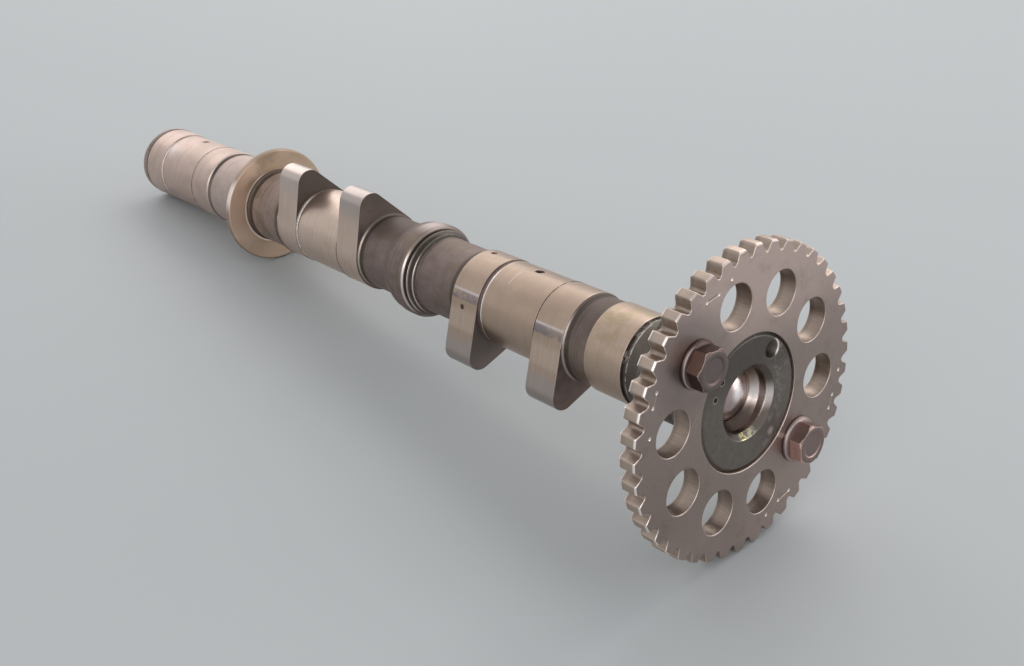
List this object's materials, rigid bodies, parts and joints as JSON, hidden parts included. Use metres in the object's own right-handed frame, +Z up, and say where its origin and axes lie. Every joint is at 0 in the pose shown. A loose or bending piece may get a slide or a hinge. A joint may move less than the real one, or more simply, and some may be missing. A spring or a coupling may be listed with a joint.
{
  "type": "camshaft with bolted timing sprocket",
  "caption": "Cast camshaft with ground lobes and journals, a thrust flange, and a bolted toothed timing sprocket with round lightening holes.",
  "frame": {"origin": "centre of the bounding box's underside, on the surface it lies on", "axes": "+X along the shaft towards the sprocket end, +Z up, +Y to the right as seen from the sprocket end; the shaft's axis climbs 5.8 degrees towards +X because it lies on two sprocket teeth and on the rim of the far end"},
  "size_m": [0.301, 0.085, 0.0849],
  "materials": {
    "shaft_iron": "cast iron, dark as-cast necks, ground lobes and journals, oil stains",
    "sprocket_steel": "satin steel with a faint brown oil film",
    "bolt_steel": "oil-stained reddish brown bolt steel",
    "plug_steel": "bright drawn steel cup, mirror-like on its dome"
  },
  "bodies": {
    "root": {"camshaft": "shaft_iron", "cam_sprocket": "sprocket_steel", "sprocket_bolt_upper": "bolt_steel", "sprocket_bolt_lower": "bolt_steel", "oil_plug": "plug_steel"}
  },
  "joints": []
}
